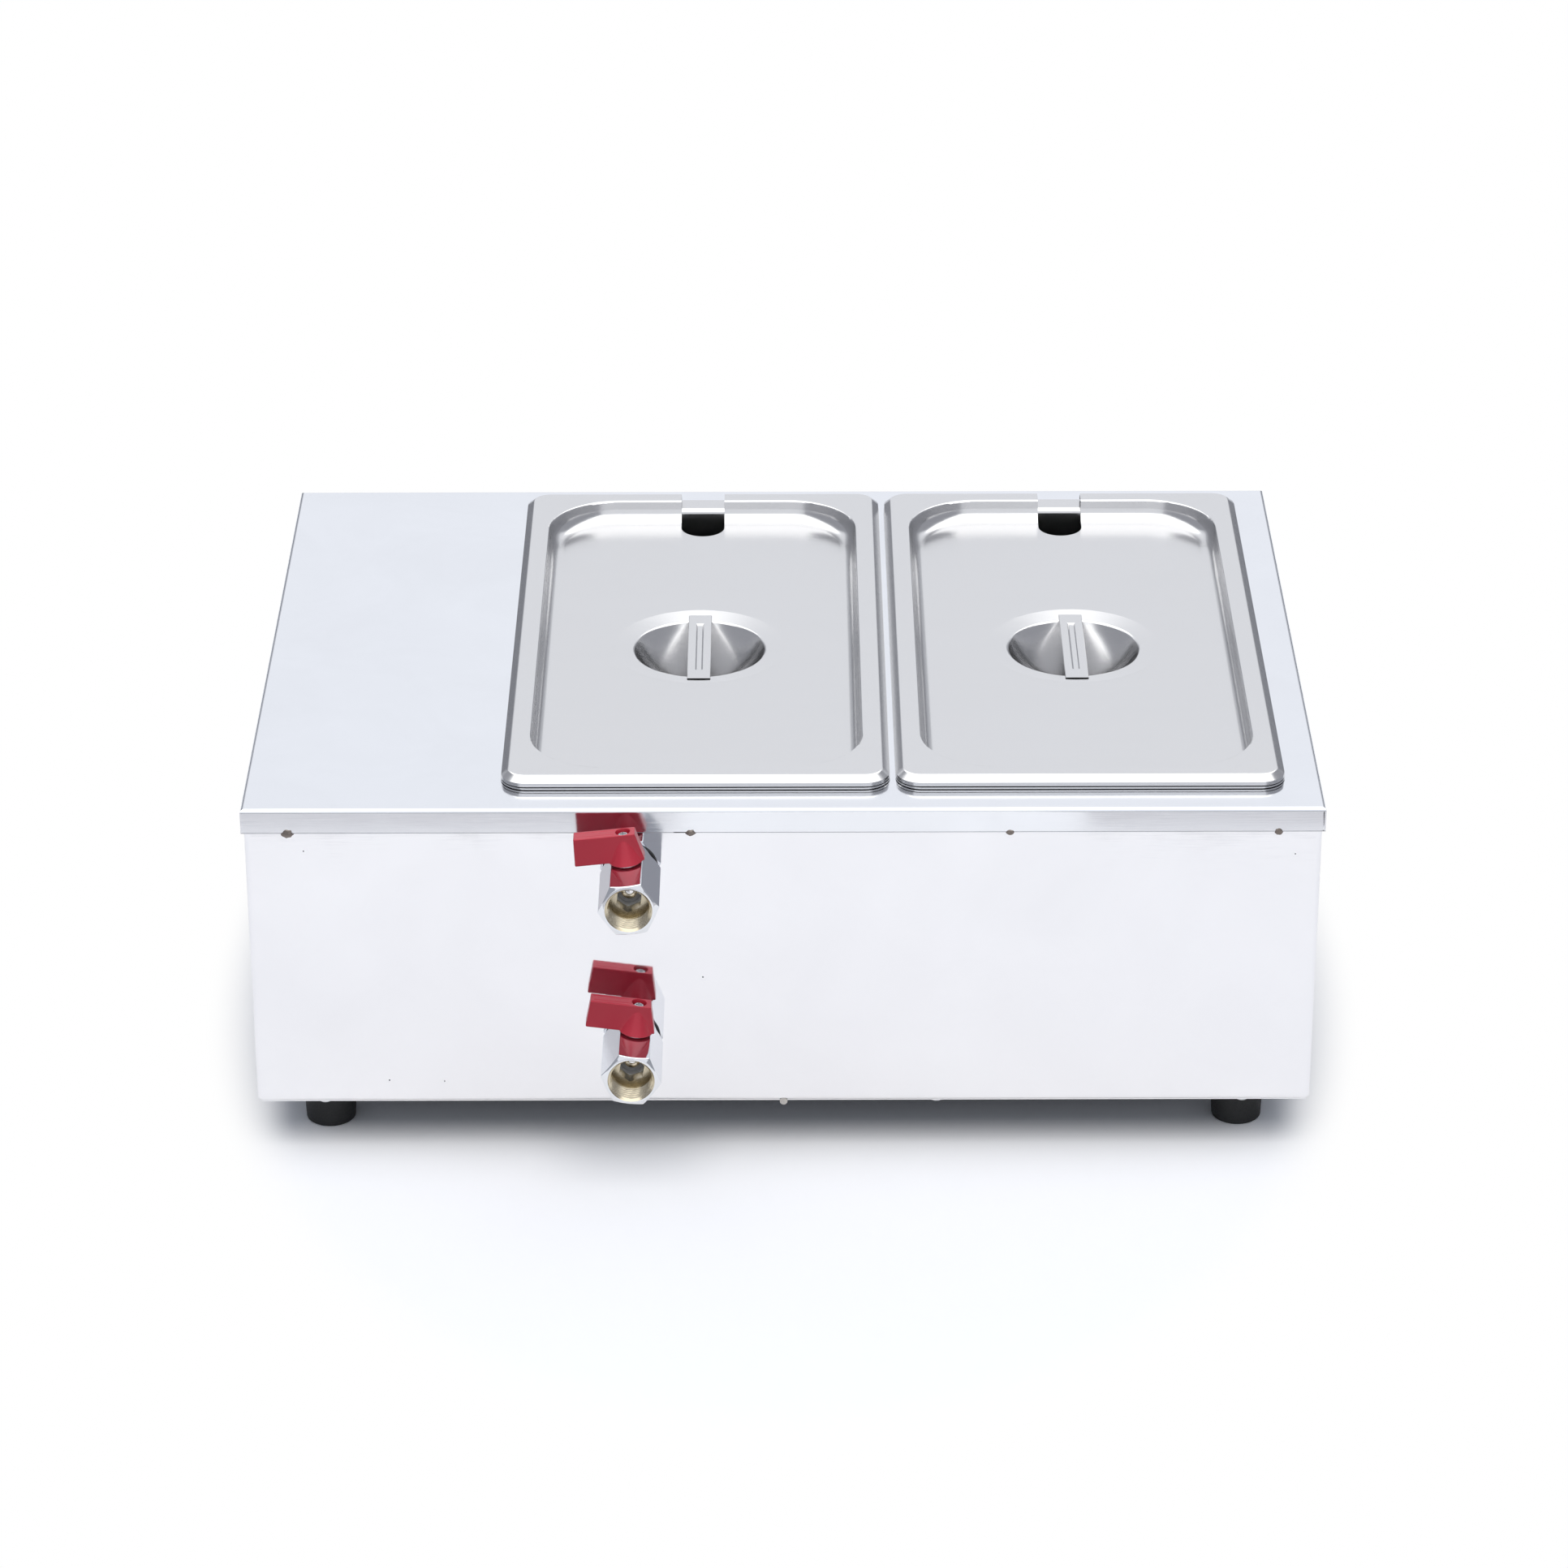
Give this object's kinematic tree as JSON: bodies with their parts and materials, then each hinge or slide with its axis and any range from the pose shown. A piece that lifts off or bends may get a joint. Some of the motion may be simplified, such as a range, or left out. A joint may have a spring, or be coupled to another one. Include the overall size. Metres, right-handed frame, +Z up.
{
  "type": "chocolate melter",
  "caption": "Stainless water-bath chocolate melter with lidded pans side by side and red-handled drain valves.",
  "frame": {"origin": "on the floor, at the middle of the plan box", "axes": "+X to the right and -Y towards a person who faces the valves, +Z up"},
  "size_m": [0.4862, 0.4208, 0.1816],
  "materials": {
    "mirror_steel": "polished stainless sheet",
    "satin_steel": "satin stainless sheet",
    "plain_steel": "zinc plated or plain steel",
    "weld_steel": "bare tack weld",
    "valve_steel": "machined stainless bar",
    "polished_ball": "polished ball",
    "brass": "machined brass",
    "sheath_steel": "heat-darkened sheath",
    "seat_plastic": "white fluoroplastic",
    "gasket_rubber": "black rubber",
    "silicone": "red-brown silicone",
    "foot_rubber": "black rubber",
    "red_plastic": "red moulded polyamide",
    "black_plastic": "black moulded plastic",
    "amber_lens": "amber lens",
    "ivory_plastic": "ivory terminal plastic",
    "live_sleeve": "brown insulation",
    "neutral_sleeve": "blue insulation",
    "earth_sleeve": "green insulation"
  },
  "bodies": {
    "melter": {"housing_wrap": "mirror_steel", "rear_panel": "satin_steel", "base_plate": "satin_steel", "top_cover": "satin_steel", "tack_welds": "weld_steel", "rubber_feet": "foot_rubber", "foot_screws": "plain_steel", "foot_nuts": "plain_steel", "base_screws": "plain_steel", "rear_screws": "plain_steel", "water_tank": "satin_steel", "valve_couplings": "plain_steel", "valve_gaskets": "gasket_rubber", "ball_retainers": "valve_steel", "ball_seats": "seat_plastic", "stem_packings": "seat_plastic", "heating_element": "sheath_steel", "heater_bushings": "brass", "heater_washers": "silicone", "heater_nuts": "brass", "thermostat_body": "ivory_plastic", "thermostat_screws": "plain_steel", "thermostat_bulb": "brass", "bulb_gland": "brass", "bulb_bracket": "satin_steel", "switch_housing": "black_plastic", "lamp_body": "black_plastic", "lamp_lens": "amber_lens", "cable_gland": "black_plastic", "gland_cap": "black_plastic", "gland_nut": "black_plastic", "terminal_block": "ivory_plastic", "terminal_screws": "plain_steel", "earth_stud": "plain_steel", "earth_nuts": "plain_steel", "live_wires": "live_sleeve", "neutral_wires": "neutral_sleeve", "earth_wire": "earth_sleeve", "upper_valve_body": "valve_steel", "lower_valve_body": "valve_steel"},
    "upper_valve": {"upper_ball": "polished_ball", "upper_stem": "valve_steel", "upper_lever": "red_plastic", "upper_lever_screw": "plain_steel"},
    "lower_valve": {"lower_ball": "polished_ball", "lower_stem": "valve_steel", "lower_lever": "red_plastic", "lower_lever_screw": "plain_steel"},
    "left_pan_body": {"left_pan": "satin_steel"},
    "right_pan_body": {"right_pan": "satin_steel"},
    "left_lid_body": {"left_lid": "satin_steel", "left_lid_strap": "satin_steel"},
    "right_lid_body": {"right_lid": "satin_steel", "right_lid_strap": "satin_steel"},
    "knob": {"thermostat_knob": "black_plastic", "thermostat_spindle": "plain_steel"},
    "rocker": {"switch_rocker": "black_plastic"}
  },
  "joints": [
    {"name": "upper_valve_turn", "type": "hinge", "parent": "melter", "child": "upper_valve", "pos_m": [-0.0687, -0.18535, 0.145], "axis": [-0.1045, 0, 0.9945], "range_deg": [0, 90]},
    {"name": "lower_valve_turn", "type": "hinge", "parent": "melter", "child": "lower_valve", "pos_m": [-0.0687, -0.18535, 0.0584], "axis": [0.1305, 0, 0.9914], "range_deg": [0, 90]},
    {"name": "left_pan_lift", "type": "slide", "parent": "melter", "child": "left_pan_body", "axis": [0, 0, 1], "range_m": [0, 0.13]},
    {"name": "left_lid_lift", "type": "slide", "parent": "left_pan_body", "child": "left_lid_body", "axis": [0, 0, 1], "range_m": [0, 0.12]},
    {"name": "right_pan_lift", "type": "slide", "parent": "melter", "child": "right_pan_body", "axis": [0, 0, 1], "range_m": [0, 0.13]},
    {"name": "right_lid_lift", "type": "slide", "parent": "right_pan_body", "child": "right_lid_body", "axis": [0, 0, 1], "range_m": [0, 0.12]},
    {"name": "knob_turn", "type": "hinge", "parent": "melter", "child": "knob", "pos_m": [-0.1763, 0.18535, 0.12], "axis": [0, -1, 0], "range_deg": [0, 270]},
    {"name": "rocker_tip", "type": "hinge", "parent": "melter", "child": "rocker", "pos_m": [-0.2155, 0.18585, 0.07], "axis": [1, 0, 0], "range_deg": [0, 18]}
  ]
}
